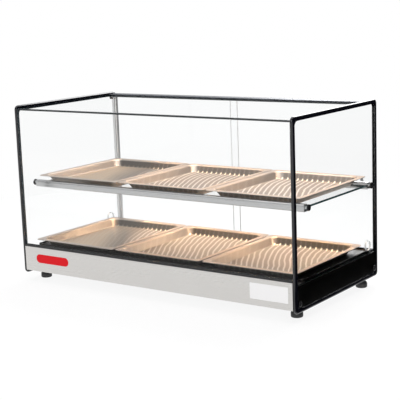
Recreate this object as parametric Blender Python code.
"""Countertop food holding cabinet: a heated base, two glazed tiers and six lift-out trays.

Metres, +Z up. The origin is on the table under the middle of the cabinet, the customer
side faces -Y and the operator side, with its sliding glass doors, faces +Y.
"""

import math

import bmesh
import bpy
from mathutils import Matrix, Vector

for old_object in list(bpy.data.objects):
    bpy.data.objects.remove(old_object, do_unlink=True)

MM = 0.001
GAP = 0.3 * MM

# Driving dimensions
FOOT_HEIGHT = 20 * MM
FRAME_HEIGHT = 446.5 * MM
FRAME_DEPTH = 408 * MM
FRAME_OUTER_X = 419 * MM
FRAME_THICKNESS = 8 * MM
FRAME_MEMBER = 11 * MM
FRAME_CORNER_RADIUS = 11.5 * MM
FRAME_INNER_RADIUS = 12 * MM
FRAME_NOSE = 3.8 * MM
GROOVE_DEPTH = 3.5 * MM
GLASS_THICKNESS = 5 * MM
SHEET = 1.2 * MM

FRAME_BOTTOM = FOOT_HEIGHT
FRAME_TOP = FOOT_HEIGHT + FRAME_HEIGHT
FRAME_HALF_DEPTH = FRAME_DEPTH / 2
FRAME_MIDDLE = (FRAME_BOTTOM + FRAME_TOP) / 2
FRAME_INNER_X = FRAME_OUTER_X - FRAME_THICKNESS
SPAN = FRAME_INNER_X - GAP
SIDE_TOP = FOOT_HEIGHT + 64 * MM
GLASS_MIDDLE_X = (FRAME_INNER_X + FRAME_OUTER_X) / 2

BASE_BOTTOM = FOOT_HEIGHT + 9.1 * MM
FRONT_FACE = -FRAME_HALF_DEPTH + 0.5 * MM
PANEL_TOP = FOOT_HEIGHT + 73.7 * MM
PANEL_RETURN = 10 * MM
LEDGE_TOP = 84.9 * MM
REAR_FACE = 190 * MM
REAR_PANEL_TOP = 78.2 * MM
COVER_BOTTOM = BASE_BOTTOM + SHEET + GAP
FLOOR_OF_BASE = COVER_BOTTOM + SHEET + GAP
CONTROLS_HEIGHT = 52 * MM

DECK_FRONT = -155 * MM
DECK_REAR = 182.3 * MM
DECK_BOTTOM = LEDGE_TOP + GAP
DECK_SHEET = 1.0 * MM
DECK_LIP = 6.3 * MM

FRONT_GLASS_FACE = -201 * MM
FRONT_GLASS_BOTTOM = 98.5 * MM
TOP_GLASS_TOP = 458.8 * MM

DOOR_THICKNESS = 4 * MM
DOOR_WIDTH = 420 * MM
INNER_DOOR_Y = 188 * MM
OUTER_DOOR_Y = 196 * MM
DOOR_GROOVE = 4.8 * MM
TRACK_FRONT = 183.5 * MM
TRACK_REAR = 200.5 * MM
TRACK_BOTTOM = 78.5 * MM
TRACK_TOP = 87.5 * MM
TRACK_FLOOR = 81.5 * MM
TOP_RAIL_FRONT = 168.3 * MM
TOP_RAIL_BOTTOM = 456.4 * MM
TOP_RAIL_TOP = 461.4 * MM
TOP_RAIL_CEILING = 459.8 * MM
DOOR_BOTTOM = TRACK_FLOOR + GAP
DOOR_TOP = TOP_RAIL_CEILING - 1.1 * MM
LEFT_DOOR_EDGE = -403 * MM
RIGHT_DOOR_EDGE = -10 * MM
PULL_INSET = 39 * MM
PULL_HEIGHT = 260 * MM
PULL_RADIUS = 12 * MM
PULL_BODY_RADIUS = 9.8 * MM
PULL_BORE = 6.8 * MM

SHELF_RAIL_BOTTOM = 245.5 * MM
SHELF_RAIL_TOP = 262.5 * MM
SHELF_RAIL_DEPTH = 14 * MM
SHELF_FRONT = -147 * MM
SHELF_REAR = 177 * MM
SHELF_GLASS_BOTTOM = 250.5 * MM
SHELF_GLASS_TOP = 255.5 * MM
KNOB_HEIGHT = 255.5 * MM
KNOB_STUD_RADIUS = 2.3 * MM

TRAY_LENGTH_X = 265 * MM
TRAY_LENGTH_Y = 325 * MM
TRAY_DEPTH = 20 * MM
TRAY_SHEET = 1.0 * MM
TRAY_FLANGE = 12 * MM
TRAY_WALL_RUN = 12 * MM
TRAY_PITCH = 269.5 * MM
UPPER_TRAY_Y = 16.5 * MM
LOWER_TRAY_Y = -8.5 * MM
UPPER_TRAY_Z = SHELF_GLASS_TOP + GAP
LOWER_TRAY_Z = DECK_BOTTOM + DECK_SHEET + GAP

LED_WIDTH = 10.4 * MM
LED_THICKNESS = 1.5 * MM
LED_HALF_LENGTH = 402 * MM
TOP_LED_Y = 176 * MM
SHELF_LED_Y = 170 * MM

HEATER_LEG_Y = 60 * MM
HEATER_HALF_LENGTH = 290 * MM
HEATER_RADIUS = 4 * MM
HEATER_Z = 62 * MM
HEATER_BRACKET_X = 150 * MM

FOOT_RADIUS = 14.4 * MM
FOOT_STUD_RADIUS = 3 * MM
FRONT_FOOT = (390 * MM, -151 * MM)
REAR_FOOT = (402 * MM, 146 * MM)
SCREW_Y = 184 * MM
SCREW_Z = FOOT_HEIGHT + 22 * MM
SCREW_RADIUS = 2 * MM
GROMMET_Y = 156 * MM
GROMMET_Z = FOOT_HEIGHT + 85.5 * MM
GROMMET_FLANGE = 16.5 * MM
GROMMET_BODY = 12 * MM
GROMMET_BORE = 8 * MM

KNOB_X = 300 * MM
POWER_SWITCH_X = 225 * MM
LIGHT_SWITCH_X = 170 * MM
CLIP_HEIGHT = 9.5 * MM
GLAND_X = -330 * MM
GLAND_RADIUS = 7.8 * MM
ROCKER_TILT = math.radians(8)

CORNER_STEPS = 4
ROUND_STEPS = 20


# Materials

def make_material(name, colour, roughness, metallic=0.0):
    material = bpy.data.materials.new(name)
    material.use_nodes = True
    shader = material.node_tree.nodes["Principled BSDF"]
    shader.inputs["Base Color"].default_value = (*colour, 1.0)
    shader.inputs["Roughness"].default_value = roughness
    shader.inputs["Metallic"].default_value = metallic
    material.diffuse_color = (*colour, 1.0)
    return material


GLOSS_BLACK = make_material("gloss_black_frame", (0.012, 0.012, 0.014), 0.15)
BLACK_PANEL = make_material("black_side_panel", (0.010, 0.010, 0.011), 0.25)
STAINLESS = make_material("brushed_stainless", (0.62, 0.60, 0.58), 0.32, 1.0)
TRAY_STEEL = make_material("tray_stainless", (0.66, 0.62, 0.57), 0.25, 1.0)
DECK_STEEL = make_material("deck_stainless", (0.50, 0.49, 0.48), 0.28, 1.0)
GALVANISED = make_material("galvanised_sheet", (0.55, 0.56, 0.57), 0.45, 1.0)
ALUMINIUM = make_material("anodised_aluminium", (0.70, 0.71, 0.72), 0.35, 1.0)
DARK_ALUMINIUM = make_material("dark_anodised_aluminium", (0.06, 0.065, 0.075), 0.35, 1.0)
CLEAR_GLASS = make_material("clear_glass", (0.86, 0.93, 0.91), 0.03)
RUBBER = make_material("black_rubber", (0.02, 0.02, 0.02), 0.7)
BLACK_PLASTIC = make_material("black_plastic", (0.02, 0.02, 0.022), 0.4)
CLEAR_PLASTIC = make_material("clear_plastic", (0.85, 0.87, 0.88), 0.2)
GREEN_PLASTIC = make_material("green_rocker", (0.03, 0.32, 0.08), 0.3)
WHITE_PLASTIC = make_material("white_plastic", (0.80, 0.80, 0.78), 0.4)
LED_BOARD = make_material("led_board", (0.85, 0.82, 0.74), 0.5)
HEATER_SHEATH = make_material("heater_sheath", (0.20, 0.19, 0.18), 0.45, 1.0)
WIRE_JACKET = make_material("wire_jacket", (0.03, 0.03, 0.03), 0.55)


# Modelling helpers

def finish_object(name, mesh_builder, material, location=(0, 0, 0), smooth=False):
    """Turns a bmesh into a named object that stands at its own origin."""
    bmesh.ops.recalc_face_normals(mesh_builder, faces=mesh_builder.faces)
    mesh = bpy.data.meshes.new(name)
    mesh_builder.to_mesh(mesh)
    mesh_builder.free()
    mesh.materials.append(material)
    if smooth:
        mesh.shade_smooth()
        mesh.set_sharp_from_angle(angle=math.radians(35))
    placed = bpy.data.objects.new(name, mesh)
    placed.location = location
    bpy.context.scene.collection.objects.link(placed)
    return placed


def skin_rings(rings, closed=False):
    """Joins rings of equal length with quads; the first and last are capped or joined."""
    builder = bmesh.new()
    vertex_rings = [[builder.verts.new(point) for point in ring] for ring in rings]
    count = len(rings[0])
    pairs = list(zip(vertex_rings, vertex_rings[1:]))
    if closed:
        pairs.append((vertex_rings[-1], vertex_rings[0]))
    for lower, upper in pairs:
        for index in range(count):
            following = (index + 1) % count
            builder.faces.new((lower[index], lower[following], upper[following], upper[index]))
    if not closed:
        builder.faces.new(vertex_rings[0])
        builder.faces.new(vertex_rings[-1])
    return builder


def rounded_rectangle(half_width, half_height, radii, steps=CORNER_STEPS):
    """Points of a rectangle, counter-clockwise; radii run from the upper right corner."""
    signs = ((1, 1), (-1, 1), (-1, -1), (1, -1))
    points = []
    for corner, ((side, end), radius) in enumerate(zip(signs, radii)):
        centre = (side * (half_width - radius), end * (half_height - radius))
        for step in range(steps + 1):
            angle = math.pi / 2 * (corner + step / steps)
            points.append((centre[0] + radius * math.cos(angle),
                           centre[1] + radius * math.sin(angle)))
    return points


def box_builder(low, high):
    """A plain block between two corners."""
    builder = bmesh.new()
    size = [top - bottom for bottom, top in zip(low, high)]
    middle = [(top + bottom) / 2 for bottom, top in zip(low, high)]
    matrix = Matrix.Translation(middle) @ Matrix.Diagonal((*size, 1))
    bmesh.ops.create_cube(builder, size=1.0, matrix=matrix)
    return builder


def prism_along_x(outline, x_start, x_end):
    """Extrudes an outline of (y, z) points from one x to another."""
    return skin_rings([[(x, y, z) for y, z in outline] for x in (x_start, x_end)])


def folded_sheet(path, thickness):
    """Outline of a bent sheet whose right-hand face follows the path of (y, z) points."""
    def offset_line(start, end):
        direction = (Vector(end) - Vector(start)).normalized()
        normal = Vector((-direction.y, direction.x))
        return Vector(start) + normal * thickness, direction

    lines = [offset_line(start, end) for start, end in zip(path, path[1:])]
    back = [lines[0][0]]
    for (origin, direction), (next_origin, next_direction) in zip(lines, lines[1:]):
        cross = direction.x * next_direction.y - direction.y * next_direction.x
        step = next_origin - origin
        reach = (step.x * next_direction.y - step.y * next_direction.x) / cross
        back.append(origin + direction * reach)
    last_origin, last_direction = lines[-1]
    length = (Vector(path[-1]) - Vector(path[-2])).length
    back.append(last_origin + last_direction * length)
    return list(path) + [tuple(point) for point in reversed(back)]


def turned(profile, axis, steps=ROUND_STEPS):
    """Turns (radius, height) pairs about an axis; a first radius above 0 leaves a bore."""
    bored = profile[0][0] > 0 and profile[0] == profile[-1]
    rows = profile[:-1] if bored else profile
    rings = []
    for radius, height in rows:
        ring = []
        for step in range(steps):
            angle = 2 * math.pi * step / steps
            across, along = radius * math.cos(angle), radius * math.sin(angle)
            ring.append({"X": (height, across, along),
                         "Y": (along, height, across),
                         "Z": (across, along, height)}[axis])
        rings.append(ring)
    return skin_rings(rings, closed=bored)


def cut(target, builders):
    """Cuts shapes out of an object; the cutters stay beside it as wires."""
    for number, builder in enumerate(builders):
        cutter = finish_object(f"{target.name}_cutter_{number}", builder, BLACK_PLASTIC)
        cutter.hide_render = True
        cutter.display_type = "WIRE"
        modifier = target.modifiers.new(f"cut_{number}", "BOOLEAN")
        modifier.operation = "DIFFERENCE"
        modifier.solver = "EXACT"
        modifier.object = cutter


def moved(builder, offset):
    """Shifts a builder's vertices."""
    bmesh.ops.translate(builder, verts=builder.verts, vec=offset)
    return builder


def rod_x(radius, x_start, x_end, y, z, steps=ROUND_STEPS):
    rod = turned([(radius, x_start), (radius, x_end)], "X", steps)
    return moved(rod, (0, y, z))


def rod_y(radius, y_start, y_end, x, z, steps=ROUND_STEPS):
    rod = turned([(radius, y_start), (radius, y_end)], "Y", steps)
    return moved(rod, (x, 0, z))


def rod_z(radius, z_start, z_end, x, y, steps=ROUND_STEPS):
    rod = turned([(radius, z_start), (radius, z_end)], "Z", steps)
    return moved(rod, (x, y, 0))


SIDES = (("left", -1), ("right", 1))


# End frames: bullnosed loops with a groove inside for the pane

def end_frame_section():
    """(inset from the outer edge, depth from the cabinet's side of the loop) pairs."""
    slot_margin = (FRAME_THICKNESS - GLASS_THICKNESS) / 2 - 0.4 * MM
    ease = 0.5 * MM
    section = []
    for step in range(7):
        angle = math.pi * step / 6
        lift = (FRAME_THICKNESS / 2 - FRAME_NOSE) * ((step > 3) - (step < 3))
        section.append((FRAME_NOSE - FRAME_NOSE * math.sin(angle),
                        FRAME_THICKNESS / 2 - FRAME_NOSE * math.cos(angle) + lift))
    section.append((FRAME_MEMBER - ease, FRAME_THICKNESS))
    section.append((FRAME_MEMBER, FRAME_THICKNESS - ease))
    section.append((FRAME_MEMBER, FRAME_THICKNESS - slot_margin))
    section.append((FRAME_MEMBER - GROOVE_DEPTH, FRAME_THICKNESS - slot_margin))
    section.append((FRAME_MEMBER - GROOVE_DEPTH, slot_margin))
    section.append((FRAME_MEMBER, slot_margin))
    section.append((FRAME_MEMBER, ease))
    section.append((FRAME_MEMBER - ease, 0))
    return section


def frame_radius(inset):
    """Corner radius of the loop at an inset from its outer edge."""
    tight = FRAME_CORNER_RADIUS - FRAME_NOSE
    if inset < FRAME_NOSE:
        return FRAME_CORNER_RADIUS - inset
    share = (inset - FRAME_NOSE) / (FRAME_MEMBER - FRAME_NOSE)
    return tight + share * (FRAME_INNER_RADIUS - tight)


def add_end_frame(side_name, side):
    rings = []
    for inset, depth in end_frame_section():
        outline = rounded_rectangle(FRAME_HALF_DEPTH - inset, FRAME_HEIGHT / 2 - inset,
                                    [frame_radius(inset)] * 4)
        x = side * (depth - FRAME_THICKNESS / 2)
        rings.append([(x, y, z) for y, z in outline])
    frame = skin_rings(rings, closed=True)
    finish_object(f"{side_name}_end_frame", frame, GLOSS_BLACK,
                  (side * GLASS_MIDDLE_X, 0, FRAME_MIDDLE), smooth=True)


def add_end_glass(side_name, side):
    edge = FRAME_MEMBER - GROOVE_DEPTH + GAP
    bottom = SIDE_TOP + GAP
    top = FRAME_TOP - edge
    middle = (bottom + top) / 2
    radius = frame_radius(edge)
    square = 0.5 * MM
    outline = rounded_rectangle(FRAME_HALF_DEPTH - edge, (top - bottom) / 2,
                                [radius, radius, square, square])
    half = GLASS_THICKNESS / 2
    glass = skin_rings([[(x, y, z) for y, z in outline] for x in (-half, half)])
    pane = finish_object(f"{side_name}_end_glass", glass, CLEAR_GLASS,
                         (side * GLASS_MIDDLE_X, 0, middle))
    ends = sorted((side * (GLASS_MIDDLE_X - 5 * MM), side * (GLASS_MIDDLE_X + 5 * MM)))
    stud_hole = KNOB_STUD_RADIUS + 0.5 * MM
    holes = [rod_x(stud_hole, *ends, SHELF_FRONT + SHELF_RAIL_DEPTH / 2, KNOB_HEIGHT, 16),
             rod_x(stud_hole, *ends, SHELF_REAR - SHELF_RAIL_DEPTH / 2, KNOB_HEIGHT, 16),
             rod_x(GROMMET_BODY + GAP, *ends, GROMMET_Y, GROMMET_Z)]
    cut(pane, holes)


def add_base_side(side_name, side):
    bottom = FRAME_BOTTOM + FRAME_MEMBER + 0.4 * MM
    middle = (bottom + SIDE_TOP) / 2
    corner = FRAME_INNER_RADIUS
    square = 0.5 * MM
    outline = rounded_rectangle(FRAME_HALF_DEPTH - FRAME_MEMBER - 0.4 * MM,
                                (SIDE_TOP - bottom) / 2, [square, square, corner, corner])
    inner, outer = FRAME_INNER_X + GAP, FRAME_OUTER_X - 0.4 * MM
    plate = skin_rings([[(side * (x - GLASS_MIDDLE_X), y, z) for y, z in outline]
                        for x in (inner, outer)])
    panel = finish_object(f"{side_name}_base_side", plate, BLACK_PANEL,
                          (side * GLASS_MIDDLE_X, 0, middle))
    ends = sorted((side * (FRAME_INNER_X - 2 * MM), side * (FRAME_OUTER_X + 2 * MM)))
    cut(panel, [rod_x(SCREW_RADIUS + 0.4 * MM, *ends, y, SCREW_Z, 16) for y in (-SCREW_Y, SCREW_Y)])


def add_side_screws(side_name, side):
    seat = FRAME_OUTER_X - 0.4 * MM + GAP
    head_top = seat + 2.0 * MM
    tip = FRAME_INNER_X - 4 * MM
    profile = [(0.01 * MM, tip), (SCREW_RADIUS, tip), (SCREW_RADIUS, seat), (6.8 * MM, seat),
               (6.8 * MM, seat + 0.6 * MM), (5.6 * MM, seat + 1.5 * MM), (3 * MM, head_top),
               (0.01 * MM, head_top)]
    profile = [(radius, side * height) for radius, height in profile]
    for end_name, y in (("front", -SCREW_Y), ("rear", SCREW_Y)):
        screw = turned(profile, "X", 16)
        finish_object(f"{side_name}_{end_name}_side_screw", screw, BLACK_PLASTIC,
                      (0, y, SCREW_Z), smooth=True)


def add_vent_grommet(side_name, side):
    """Clear plastic ring that lines the drilled hole near the rear of the end pane."""
    pane_face = GLASS_MIDDLE_X - GLASS_THICKNESS / 2
    inner, outer = pane_face - 1.4 * MM, FRAME_OUTER_X - 0.5 * MM
    profile = [(GROMMET_BORE, inner), (GROMMET_FLANGE - 0.8 * MM, inner),
               (GROMMET_FLANGE, inner + 0.5 * MM), (GROMMET_FLANGE, pane_face - GAP),
               (GROMMET_BODY, pane_face - GAP), (GROMMET_BODY, outer),
               (GROMMET_BORE, outer), (GROMMET_BORE, inner)]
    profile = [(radius, side * height) for radius, height in profile]
    finish_object(f"{side_name}_vent_grommet", turned(profile, "X"), CLEAR_PLASTIC,
                  (0, GROMMET_Y, GROMMET_Z), smooth=True)


# Heated base

def add_front_base_panel():
    path = [(FRONT_FACE + 14 * MM, BASE_BOTTOM), (FRONT_FACE, BASE_BOTTOM),
            (FRONT_FACE, PANEL_TOP), (FRONT_FACE + PANEL_RETURN, PANEL_TOP),
            (FRONT_FACE + PANEL_RETURN, LEDGE_TOP), (DECK_FRONT + 6 * MM, LEDGE_TOP)]
    outline = folded_sheet(path, -SHEET)
    finish_object("front_base_panel", prism_along_x(outline, -SPAN, SPAN), STAINLESS)


def add_rear_base_panel():
    path = [(REAR_FACE - 14 * MM, BASE_BOTTOM), (REAR_FACE, BASE_BOTTOM),
            (REAR_FACE, REAR_PANEL_TOP), (DECK_REAR + GAP, REAR_PANEL_TOP),
            (DECK_REAR + GAP, LEDGE_TOP), (DECK_REAR - 12 * MM, LEDGE_TOP)]
    outline = folded_sheet(path, SHEET)
    panel = finish_object("rear_base_panel", prism_along_x(outline, -SPAN, SPAN), STAINLESS)
    front, rear = REAR_FACE - 5 * MM, REAR_FACE + 5 * MM
    cutouts = [rod_y(4 * MM, front, rear, KNOB_X, CONTROLS_HEIGHT, 16),
               rod_y(GLAND_RADIUS + GAP, front, rear, GLAND_X, CONTROLS_HEIGHT)]
    for x in (POWER_SWITCH_X, LIGHT_SWITCH_X):
        cutouts.append(box_builder((x - 14 * MM, front, CONTROLS_HEIGHT - 10 * MM),
                                   (x + 14 * MM, rear, CONTROLS_HEIGHT + 10 * MM)))
    cut(panel, cutouts)


def foot_positions():
    for end_name, (x, y) in (("front", FRONT_FOOT), ("rear", REAR_FOOT)):
        for side_name, side in SIDES:
            yield f"{side_name}_{end_name}_foot", side * x, y


def add_bottom_cover():
    cover = box_builder((-SPAN, FRONT_FACE + SHEET + 0.4 * MM, COVER_BOTTOM),
                        (SPAN, REAR_FACE - SHEET - 0.4 * MM, COVER_BOTTOM + SHEET))
    plate = finish_object("bottom_cover", cover, GALVANISED)
    low, high = COVER_BOTTOM - 3 * MM, COVER_BOTTOM + SHEET + 3 * MM
    holes = [rod_z(FOOT_STUD_RADIUS + 0.5 * MM, low, high, x, y, 12)
             for _, x, y in foot_positions()]
    slots = bmesh.new()
    for row in (-1, 1):
        for column in range(-3, 4):
            middle = (column * 70 * MM, row * 110 * MM, (low + high) / 2)
            size = (44 * MM, 5 * MM, high - low, 1)
            matrix = Matrix.Translation(middle) @ Matrix.Diagonal(size)
            bmesh.ops.create_cube(slots, size=1.0, matrix=matrix)
    cut(plate, holes + [slots])


def add_foot(name, x, y):
    stud_top = COVER_BOTTOM + SHEET + 5 * MM
    seat = COVER_BOTTOM - GAP
    profile = [(0.01 * MM, 0), (12.4 * MM, 0), (14 * MM, 1.2 * MM), (FOOT_RADIUS, 3.5 * MM),
               (FOOT_RADIUS, 9.5 * MM), (13.2 * MM, 13 * MM), (10 * MM, 16 * MM),
               (8 * MM, 19 * MM), (7.5 * MM, seat), (FOOT_STUD_RADIUS, seat),
               (FOOT_STUD_RADIUS, stud_top), (0.01 * MM, stud_top)]
    finish_object(name, turned(profile, "Z"), RUBBER, (x, y, 0), smooth=True)


def pan_rings(half_x, half_y, levels):
    """Rings of a pressed pan from (inset, corner radius, height) levels."""
    rings = []
    for inset, radius, height in levels:
        outline = rounded_rectangle(half_x - inset, half_y - inset, [radius] * 4)
        rings.append([(x, y, height) for x, y in outline])
    return rings


def add_deck_pan():
    top = DECK_SHEET + DECK_LIP - 1 * MM
    levels = [(3.5 * MM, 5 * MM, DECK_SHEET), (1.6 * MM, 7 * MM, DECK_SHEET + 0.6 * MM),
              (1.0 * MM, 7 * MM, DECK_SHEET + 2.4 * MM), (1.0 * MM, 7 * MM, top - 0.3 * MM),
              (0.7 * MM, 7.3 * MM, top), (0.3 * MM, 7.7 * MM, top),
              (0, 8 * MM, top - 0.3 * MM), (0, 8 * MM, 1.8 * MM),
              (0.7 * MM, 7.6 * MM, 0.5 * MM), (2.4 * MM, 6 * MM, 0)]
    deck = skin_rings(pan_rings(SPAN, (DECK_REAR - DECK_FRONT) / 2, levels))
    finish_object("deck_pan", deck, DECK_STEEL,
                  (0, (DECK_REAR + DECK_FRONT) / 2, DECK_BOTTOM), smooth=True)


def tube(name, route, radius, material):
    """A round tube along a smooth route of points, with filled ends."""
    curve = bpy.data.curves.new(name, "CURVE")
    curve.dimensions = "3D"
    curve.bevel_depth = radius
    curve.bevel_resolution = 2
    curve.use_fill_caps = True
    spline = curve.splines.new("POLY")
    spline.points.add(len(route) - 1)
    for point, place in zip(spline.points, route):
        point.co = (*place, 1)
    curve.materials.append(material)
    placed = bpy.data.objects.new(name, curve)
    bpy.context.scene.collection.objects.link(placed)
    return placed


def add_heating_element():
    """One hairpin tube: two straight legs joined by a half turn at the left."""
    turn_x = -HEATER_HALF_LENGTH + HEATER_LEG_Y
    route = [(HEATER_HALF_LENGTH, -HEATER_LEG_Y, HEATER_Z)]
    for step in range(17):
        angle = -math.pi / 2 - math.pi * step / 16
        route.append((turn_x + HEATER_LEG_Y * math.cos(angle),
                      HEATER_LEG_Y * math.sin(angle), HEATER_Z))
    route.append((HEATER_HALF_LENGTH, HEATER_LEG_Y, HEATER_Z))
    tube("heating_element", route, HEATER_RADIUS, HEATER_SHEATH)


def add_heater_bracket(name, x):
    """Upright plate with a foot; each leg of the heater lies in one of its two saddles."""
    foot_bottom = COVER_BOTTOM + SHEET + GAP
    half_width = HEATER_LEG_Y + 14 * MM
    top = HEATER_Z + 4 * MM
    saddle = HEATER_RADIUS + 0.4 * MM
    outline = [(-half_width, foot_bottom), (half_width, foot_bottom), (half_width, top)]
    for leg in (1, -1):
        outline.append((leg * HEATER_LEG_Y + saddle, top))
        for step in range(7):
            angle = -math.pi * step / 6
            outline.append((leg * HEATER_LEG_Y + saddle * math.cos(angle),
                            HEATER_Z + saddle * math.sin(angle)))
        outline.append((leg * HEATER_LEG_Y - saddle, top))
    outline.append((-half_width, top))
    bracket = prism_along_x(outline, x, x + 1.5 * MM)
    finish_object(name, bracket, GALVANISED)


def add_thermostat():
    half = 17 * MM
    rear = REAR_FACE - SHEET - GAP
    body = box_builder((-half, rear - 28 * MM, -half), (half, rear, half))
    body_object = finish_object("thermostat_body", body, BLACK_PLASTIC,
                                (KNOB_X, 0, CONTROLS_HEIGHT))
    shaft = finish_object("thermostat_shaft_guide",
                          turned([(3 * MM, rear - 2 * MM), (3 * MM, REAR_FACE + 9 * MM)], "Y", 16),
                          BLACK_PLASTIC, (KNOB_X, 0, CONTROLS_HEIGHT))
    shaft.hide_render = True
    shaft.display_type = "WIRE"
    union = body_object.modifiers.new("shaft", "BOOLEAN")
    union.operation = "UNION"
    union.solver = "EXACT"
    union.object = shaft

    seat, face = REAR_FACE + GAP, REAR_FACE + 13 * MM
    bore_end = REAR_FACE + 9.6 * MM
    profile = [(3.4 * MM, seat), (15 * MM, seat), (15 * MM, seat + 2 * MM),
               (12.5 * MM, seat + 3.5 * MM), (11.5 * MM, face - 1 * MM), (10.5 * MM, face),
               (0.01 * MM, face)]
    bore = [(0.01 * MM, bore_end), (3.4 * MM, bore_end), (3.4 * MM, seat)]
    knob_profile = bore + profile[1:]
    knob = turned(knob_profile, "Y")
    knob_object = finish_object("thermostat_knob", knob, BLACK_PLASTIC,
                                (KNOB_X, 0, CONTROLS_HEIGHT), smooth=True)
    pointer = box_builder((KNOB_X - 0.8 * MM, face - 0.8 * MM, CONTROLS_HEIGHT + 3 * MM),
                          (KNOB_X + 0.8 * MM, face + 1 * MM, CONTROLS_HEIGHT + 12 * MM))
    cut(knob_object, [pointer])

    sensor = rod_x(3 * MM, 205 * MM, 265 * MM, 100 * MM, DECK_BOTTOM - 6 * MM, 12)
    finish_object("thermostat_sensor_bulb", sensor, HEATER_SHEATH, smooth=True)


def add_rocker_switch(name, x, rocker_material):
    """A snap-in housing with a bezel, and a rocker that tips about X inside its pocket."""
    rear_of_bezel = REAR_FACE + GAP
    bezel_face = rear_of_bezel + 2 * MM
    bezel = box_builder((-16 * MM, rear_of_bezel, -12 * MM), (16 * MM, bezel_face, 12 * MM))
    housing = finish_object(f"{name}_housing", bezel, BLACK_PLASTIC, (x, 0, CONTROLS_HEIGHT))
    body = box_builder((x - 13.7 * MM, REAR_FACE - 24 * MM, CONTROLS_HEIGHT - 9.7 * MM),
                       (x + 13.7 * MM, rear_of_bezel + 1 * MM, CONTROLS_HEIGHT + 9.7 * MM))
    body_guide = finish_object(f"{name}_body_guide", body, BLACK_PLASTIC)
    body_guide.hide_render = True
    body_guide.display_type = "WIRE"
    union = housing.modifiers.new("body", "BOOLEAN")
    union.operation = "UNION"
    union.solver = "EXACT"
    union.object = body_guide
    pocket = box_builder((x - 11 * MM, bezel_face - 12 * MM, CONTROLS_HEIGHT - 7.6 * MM),
                         (x + 11 * MM, bezel_face + 2 * MM, CONTROLS_HEIGHT + 7.6 * MM))
    cut(housing, [pocket])

    outline = [(4.6, -6.4), (3.2, 0), (4.6, 6.4), (-1, 6.4), (-4, 3), (-4, -3), (-1, -6.4)]
    tilt = Matrix.Rotation(-ROCKER_TILT, 2)
    points = [tuple(tilt @ Vector((y * MM, z * MM))) for y, z in outline]
    rocker = prism_along_x(points, -10.4 * MM, 10.4 * MM)
    finish_object(f"{name}_rocker", rocker, rocker_material,
                  (x, bezel_face - 4.5 * MM, CONTROLS_HEIGHT))


def add_cord_gland():
    """Flanged bushing in the rear panel; its bore is the way in for a supply cord."""
    flange_face = REAR_FACE + 6 * MM
    seat = REAR_FACE + GAP
    inner_end = REAR_FACE - 14 * MM
    bore, neck, flange = 4.6 * MM, GLAND_RADIUS, 12 * MM
    profile = [(bore, inner_end), (neck, inner_end), (neck, seat), (flange, seat),
               (flange, seat + 3 * MM), (9 * MM, flange_face), (bore, flange_face),
               (bore, inner_end)]
    finish_object("cord_gland", turned(profile, "Y"), BLACK_PLASTIC,
                  (GLAND_X, 0, CONTROLS_HEIGHT), smooth=True)


def add_led_driver():
    driver = box_builder((-60 * MM, 120 * MM, FLOOR_OF_BASE),
                         (40 * MM, 160 * MM, FLOOR_OF_BASE + 24 * MM))
    bmesh.ops.bevel(driver, geom=driver.edges[:], offset=1.5 * MM, segments=1,
                    affect="EDGES")
    finish_object("led_driver", driver, WHITE_PLASTIC)


def add_terminal_block():
    block = box_builder((-300 * MM, 130 * MM, FLOOR_OF_BASE),
                        (-240 * MM, 152 * MM, FLOOR_OF_BASE + 16 * MM))
    placed = finish_object("terminal_block", block, WHITE_PLASTIC)
    wells = bmesh.new()
    for number in range(4):
        middle = (-291 * MM + number * 14 * MM, 141 * MM, FLOOR_OF_BASE + 16 * MM)
        matrix = Matrix.Translation(middle) @ Matrix.Diagonal((8 * MM, 14 * MM, 8 * MM, 1))
        bmesh.ops.create_cube(wells, size=1.0, matrix=matrix)
    cut(placed, [wells])


def add_wiring_loom():
    """Bound wires that lie on the floor of the base, from the terminals to the controls."""
    lay = FLOOR_OF_BASE + 3.4 * MM
    corner = 16 * MM
    route = [(-239.2 * MM, 141 * MM, lay)]
    start, end = -215 * MM, 262 * MM
    for step in range(9):
        angle = -math.pi / 2 + math.pi / 2 * step / 8
        route.append((start + corner * math.cos(angle) - corner,
                      157 * MM + corner * math.sin(angle), lay))
    for step in range(1, 9):
        angle = math.pi - math.pi / 2 * step / 8
        route.append((start + corner + corner * math.cos(angle),
                      157 * MM + corner * math.sin(angle), lay))
    route.append((end, 173 * MM, lay))
    tube("wiring_loom", route, 3 * MM, WIRE_JACKET)


# Glazing

def add_front_glass():
    glass = box_builder((-SPAN, FRONT_GLASS_FACE, FRONT_GLASS_BOTTOM),
                        (SPAN, FRONT_GLASS_FACE + GLASS_THICKNESS, TOP_GLASS_TOP))
    finish_object("front_glass", glass, CLEAR_GLASS)

    low, base = PANEL_TOP + GAP, FRONT_GLASS_BOTTOM - GAP
    lip = FRONT_GLASS_BOTTOM + 0.9 * MM
    front, rear = FRONT_GLASS_FACE, FRONT_GLASS_FACE + GLASS_THICKNESS
    outline = [(front - 1.5 * MM, low), (rear + 1.3 * MM, low), (rear + 1.3 * MM, lip),
               (rear + GAP, lip), (rear + GAP, base), (front - GAP, base),
               (front - GAP, lip), (front - 1.5 * MM, lip)]
    finish_object("front_glass_gasket", prism_along_x(outline, -SPAN, SPAN), RUBBER)


def add_top_glass():
    glass = box_builder((-SPAN, FRONT_GLASS_FACE + GLASS_THICKNESS + GAP,
                         TOP_GLASS_TOP - GLASS_THICKNESS),
                        (SPAN, TOP_RAIL_FRONT - GAP, TOP_GLASS_TOP))
    finish_object("top_glass", glass, CLEAR_GLASS)


def grooves(low, high):
    """Edges of the two door grooves, from the operator side to the inside."""
    half = DOOR_GROOVE / 2
    points = []
    for y in (OUTER_DOOR_Y, INNER_DOOR_Y):
        points += [(y + half, low), (y + half, high), (y - half, high), (y - half, low)]
    return points


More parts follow.
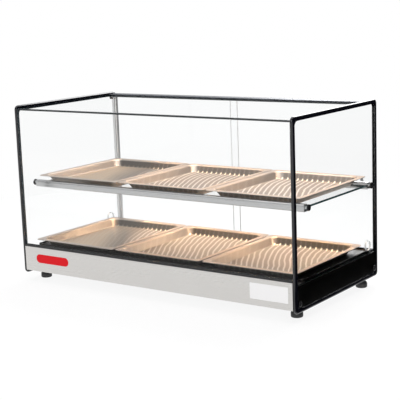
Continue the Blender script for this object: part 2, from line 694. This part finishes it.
def add_door_rails():
    led_half = LED_WIDTH / 2 + 0.6 * MM
    channel_top = TOP_RAIL_BOTTOM + 2.5 * MM
    outline = [(TOP_RAIL_FRONT, TOP_RAIL_TOP), (TRACK_REAR, TOP_RAIL_TOP),
               (TRACK_REAR, TOP_RAIL_BOTTOM)]
    outline += grooves(TOP_RAIL_BOTTOM, TOP_RAIL_CEILING)
    outline += [(TOP_LED_Y + led_half, TOP_RAIL_BOTTOM), (TOP_LED_Y + led_half, channel_top),
                (TOP_LED_Y - led_half, channel_top), (TOP_LED_Y - led_half, TOP_RAIL_BOTTOM),
                (TOP_RAIL_FRONT, TOP_RAIL_BOTTOM)]
    finish_object("rear_top_rail", prism_along_x(outline, -SPAN, SPAN), DARK_ALUMINIUM)

    outline = [(TRACK_FRONT, TRACK_BOTTOM), (TRACK_REAR, TRACK_BOTTOM), (TRACK_REAR, TRACK_TOP)]
    outline += grooves(TRACK_TOP, TRACK_FLOOR)
    outline += [(TRACK_FRONT, TRACK_TOP)]
    finish_object("rear_bottom_track", prism_along_x(outline, -SPAN, SPAN), DARK_ALUMINIUM)


def add_sliding_door(side_name, left_edge, pull_x, y):
    """One pane and the ring of its finger pull; both stand on the pane's middle."""
    middle = (left_edge + DOOR_WIDTH / 2, y, (DOOR_BOTTOM + DOOR_TOP) / 2)
    half = (DOOR_WIDTH / 2, DOOR_THICKNESS / 2, (DOOR_TOP - DOOR_BOTTOM) / 2)
    pane = finish_object(f"{side_name}_sliding_door",
                         box_builder([-size for size in half], half), CLEAR_GLASS, middle)
    cut(pane, [rod_y(PULL_BODY_RADIUS + GAP, y - 5 * MM, y + 5 * MM, pull_x, PULL_HEIGHT, 24)])

    face = DOOR_THICKNESS / 2 + GAP
    rim = face + 1.2 * MM
    profile = [(PULL_BORE, -rim), (PULL_RADIUS - 0.8 * MM, -rim), (PULL_RADIUS, -face),
               (PULL_BODY_RADIUS, -face), (PULL_BODY_RADIUS, face), (PULL_RADIUS, face),
               (PULL_RADIUS - 0.8 * MM, rim), (PULL_BORE, rim), (PULL_BORE, -rim)]
    finish_object(f"{side_name}_door_pull", turned(profile, "Y", 24), ALUMINIUM,
                  (pull_x, y, PULL_HEIGHT), smooth=True)


def add_wire_conduit():
    """Upright channel that brings the light wires down the rear left corner."""
    low, high = TRACK_TOP + GAP, TOP_RAIL_BOTTOM - GAP
    near, far = -SPAN, LEFT_DOOR_EDGE - 0.5 * MM
    outline = [(near, TRACK_FRONT + 0.5 * MM), (far, TRACK_FRONT + 0.5 * MM),
               (far, 191 * MM), (far - 0.8 * MM, 192 * MM), (far, 193 * MM),
               (far, TRACK_REAR - 0.5 * MM), (near, TRACK_REAR - 0.5 * MM)]
    channel = skin_rings([[(x, y, z) for x, y in outline] for z in (low, high)])
    finish_object("wire_conduit", channel, ALUMINIUM)

    clip = box_builder((-SPAN, 172.5 * MM, TOP_RAIL_BOTTOM - CLIP_HEIGHT),
                       (-SPAN + 8 * MM, 179.5 * MM, TOP_RAIL_BOTTOM - GAP))
    bmesh.ops.bevel(clip, geom=clip.edges[:], offset=1 * MM, segments=2, affect="EDGES")
    finish_object("led_cable_clip", clip, BLACK_PLASTIC, smooth=True)


# Shelf

def shelf_rail_outline(toward_back):
    """Section of a shelf rail about its middle, its glass slot open to the back or front."""
    half = SHELF_RAIL_DEPTH / 2
    low, high = SHELF_RAIL_BOTTOM, SHELF_RAIL_TOP
    slot_low, slot_high = SHELF_GLASS_BOTTOM - GAP, SHELF_GLASS_TOP + GAP
    ease = 1.2 * MM
    web = -half + 4 * MM
    reveal = high - 4 * MM
    outline = [(-half, low + ease), (-half + ease, low)]
    if not toward_back:
        led_half = LED_WIDTH / 2 + 0.3 * MM
        ceiling = low + 2.2 * MM
        outline += [(-led_half, low), (-led_half, ceiling), (led_half, ceiling), (led_half, low)]
    outline += [(half, low), (half, slot_low), (web, slot_low), (web, slot_high),
                (half, slot_high), (half, high - ease), (half - ease, high),
                (-half + ease, high), (-half, high - ease), (-half, reveal + 0.7 * MM),
                (-half + 0.7 * MM, reveal), (-half, reveal - 0.7 * MM)]
    sign = 1 if toward_back else -1
    return [(sign * y, z) for y, z in outline]


def add_shelf():
    half = SHELF_RAIL_DEPTH / 2
    reach = SPAN + 1 * MM
    for end_name, y, toward_back in (("front", SHELF_FRONT + half, True),
                                     ("rear", SHELF_REAR - half, False)):
        outline = shelf_rail_outline(toward_back)
        rail = finish_object(f"shelf_{end_name}_rail", prism_along_x(outline, -reach, reach),
                             ALUMINIUM, (0, y, 0))
        bores = []
        for side in (-1, 1):
            ends = sorted((side * (reach + 3 * MM), side * (reach - 6.4 * MM)))
            bores.append(rod_x(KNOB_STUD_RADIUS + 0.3 * MM, *ends, y, KNOB_HEIGHT, 12))
        cut(rail, bores)
        for side_name, side in SIDES:
            add_shelf_knob(f"shelf_{end_name}_{side_name}_knob", side, y)

    edge = 4.3 * MM
    glass = box_builder((-405 * MM, SHELF_FRONT + edge, SHELF_GLASS_BOTTOM),
                        (405 * MM, SHELF_REAR - edge, SHELF_GLASS_TOP))
    finish_object("shelf_glass", glass, CLEAR_GLASS)


def add_shelf_knob(name, side, y):
    """Round black head outside the end pane, with a stud into the rail."""
    seat = GLASS_MIDDLE_X + GLASS_THICKNESS / 2 + GAP
    face = seat + 3.6 * MM
    tip = SPAN - 5 * MM
    profile = [(0.01 * MM, tip), (KNOB_STUD_RADIUS, tip), (KNOB_STUD_RADIUS, seat),
               (8 * MM, seat), (8 * MM, face - 0.8 * MM), (7.2 * MM, face), (0.01 * MM, face)]
    profile = [(radius, side * height) for radius, height in profile]
    finish_object(name, turned(profile, "X"), BLACK_PLASTIC, (0, y, KNOB_HEIGHT), smooth=True)


# Lights

def add_led_strips():
    for name, y, top in (("top_led_strip", TOP_LED_Y, TOP_RAIL_BOTTOM + 2.5 * MM - GAP),
                         ("shelf_led_strip", SHELF_LED_Y, SHELF_RAIL_BOTTOM + 2.2 * MM - GAP)):
        strip = box_builder((-LED_HALF_LENGTH, -LED_WIDTH / 2, -LED_THICKNESS),
                            (LED_HALF_LENGTH, LED_WIDTH / 2, 0))
        finish_object(name, strip, LED_BOARD, (0, y, top))


# Trays

def tray_levels():
    """(inset, corner radius, height) levels over the inside of a tray and back under it."""
    floor_inset = TRAY_FLANGE + TRAY_WALL_RUN
    top, sheet = TRAY_DEPTH, TRAY_SHEET
    inside = [(floor_inset + 3.5 * MM, 15 * MM, sheet),
              (floor_inset + 1.2 * MM, 16 * MM, sheet + 0.35 * MM),
              (floor_inset - 1.2 * MM, 17 * MM, sheet + 2.2 * MM),
              (TRAY_FLANGE + 1.6 * MM, 19 * MM, top - 2.6 * MM),
              (TRAY_FLANGE + 0.3 * MM, 20 * MM, top - 0.7 * MM),
              (TRAY_FLANGE - 1.6 * MM, 19 * MM, top),
              (0.5 * MM, 9.5 * MM, top), (0, 10 * MM, top - 0.5 * MM)]
    underside = [(0, 10 * MM, top - sheet - 0.4 * MM), (0.8 * MM, 9.4 * MM, top - sheet),
                 (TRAY_FLANGE - 0.8 * MM, 18.5 * MM, top - sheet),
                 (TRAY_FLANGE + 1.1 * MM, 18.6 * MM, top - sheet - 1.4 * MM),
                 (floor_inset - 0.5 * MM, 16.6 * MM, 1.6 * MM),
                 (floor_inset + 2.8 * MM, 15 * MM, 0)]
    return inside + underside


def add_trays():
    tiers = (("upper", UPPER_TRAY_Y, UPPER_TRAY_Z), ("lower", LOWER_TRAY_Y, LOWER_TRAY_Z))
    for tier_name, y, z in tiers:
        for column_name, column in (("left", -1), ("middle", 0), ("right", 1)):
            rings = pan_rings(TRAY_LENGTH_X / 2, TRAY_LENGTH_Y / 2, tray_levels())
            finish_object(f"{tier_name}_{column_name}_tray", skin_rings(rings), TRAY_STEEL,
                          (column * TRAY_PITCH, y, z), smooth=True)


for side_name, side in SIDES:
    add_end_frame(side_name, side)
    add_end_glass(side_name, side)
    add_base_side(side_name, side)
    add_side_screws(side_name, side)
    add_vent_grommet(side_name, side)

add_front_base_panel()
add_rear_base_panel()
add_bottom_cover()
for foot_name, foot_x, foot_y in foot_positions():
    add_foot(foot_name, foot_x, foot_y)
add_deck_pan()
add_heating_element()
add_heater_bracket("left_heater_bracket", -HEATER_BRACKET_X)
add_heater_bracket("right_heater_bracket", HEATER_BRACKET_X)
add_thermostat()
add_rocker_switch("power_switch", POWER_SWITCH_X, GREEN_PLASTIC)
add_rocker_switch("light_switch", LIGHT_SWITCH_X, BLACK_PLASTIC)
add_cord_gland()
add_led_driver()
add_terminal_block()
add_wiring_loom()

add_front_glass()
add_top_glass()
add_door_rails()
add_sliding_door("left", LEFT_DOOR_EDGE, LEFT_DOOR_EDGE + PULL_INSET, INNER_DOOR_Y)
add_sliding_door("right", RIGHT_DOOR_EDGE, RIGHT_DOOR_EDGE + DOOR_WIDTH - PULL_INSET, OUTER_DOOR_Y)
add_wire_conduit()

add_shelf()
add_led_strips()
add_trays()
